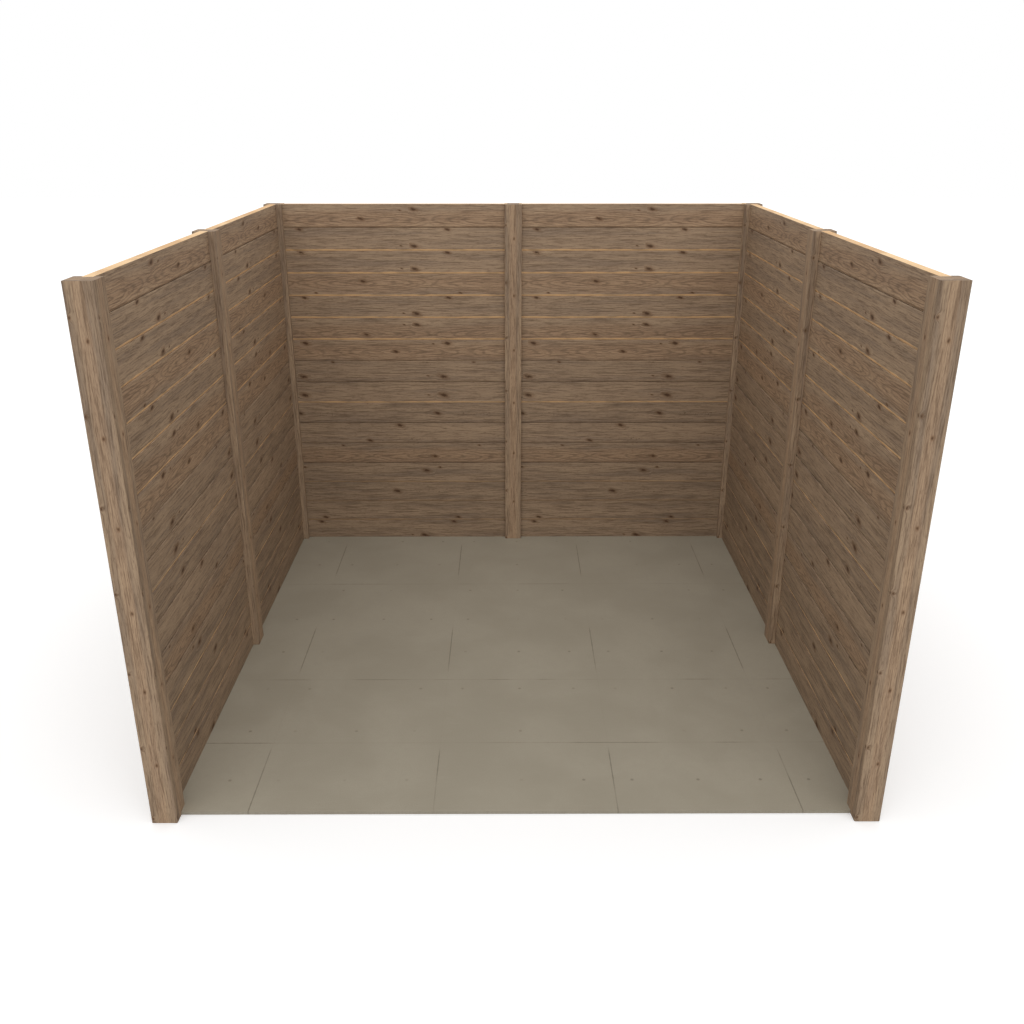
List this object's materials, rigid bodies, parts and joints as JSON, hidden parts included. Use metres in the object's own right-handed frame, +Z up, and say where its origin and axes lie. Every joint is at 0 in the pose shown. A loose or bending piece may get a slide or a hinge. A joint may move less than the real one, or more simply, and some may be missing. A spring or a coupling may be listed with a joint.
{
  "type": "roofless garden pergola screen with three board walls",
  "caption": "Square timber garden enclosure, open above and at the front: horizontal tongued boards held in grooved posts around a thin cast floor.",
  "frame": {"origin": "middle of the footprint, on the ground", "axes": "+X to the right seen from the open front, +Y towards the rear wall, +Z up; the open side faces -Y"},
  "size_m": [3, 3, 2.2],
  "materials": {
    "post_timber": "matte",
    "board_timber": "matte",
    "floor_concrete": "matte"
  },
  "bodies": {
    "root": {"post_front_left": "post_timber", "post_mid_left": "post_timber", "post_rear_left": "post_timber", "post_mid_rear": "post_timber", "post_rear_right": "post_timber", "post_mid_right": "post_timber", "post_front_right": "post_timber", "left_front_bottom_board": "board_timber", "left_front_boards": "board_timber", "left_front_top_board": "board_timber", "left_rear_bottom_board": "board_timber", "left_rear_boards": "board_timber", "left_rear_top_board": "board_timber", "rear_left_bottom_board": "board_timber", "rear_left_boards": "board_timber", "rear_left_top_board": "board_timber", "rear_right_bottom_board": "board_timber", "rear_right_boards": "board_timber", "rear_right_top_board": "board_timber", "right_rear_bottom_board": "board_timber", "right_rear_boards": "board_timber", "right_rear_top_board": "board_timber", "right_front_bottom_board": "board_timber", "right_front_boards": "board_timber", "right_front_top_board": "board_timber", "floor_slab": "floor_concrete"}
  },
  "joints": []
}
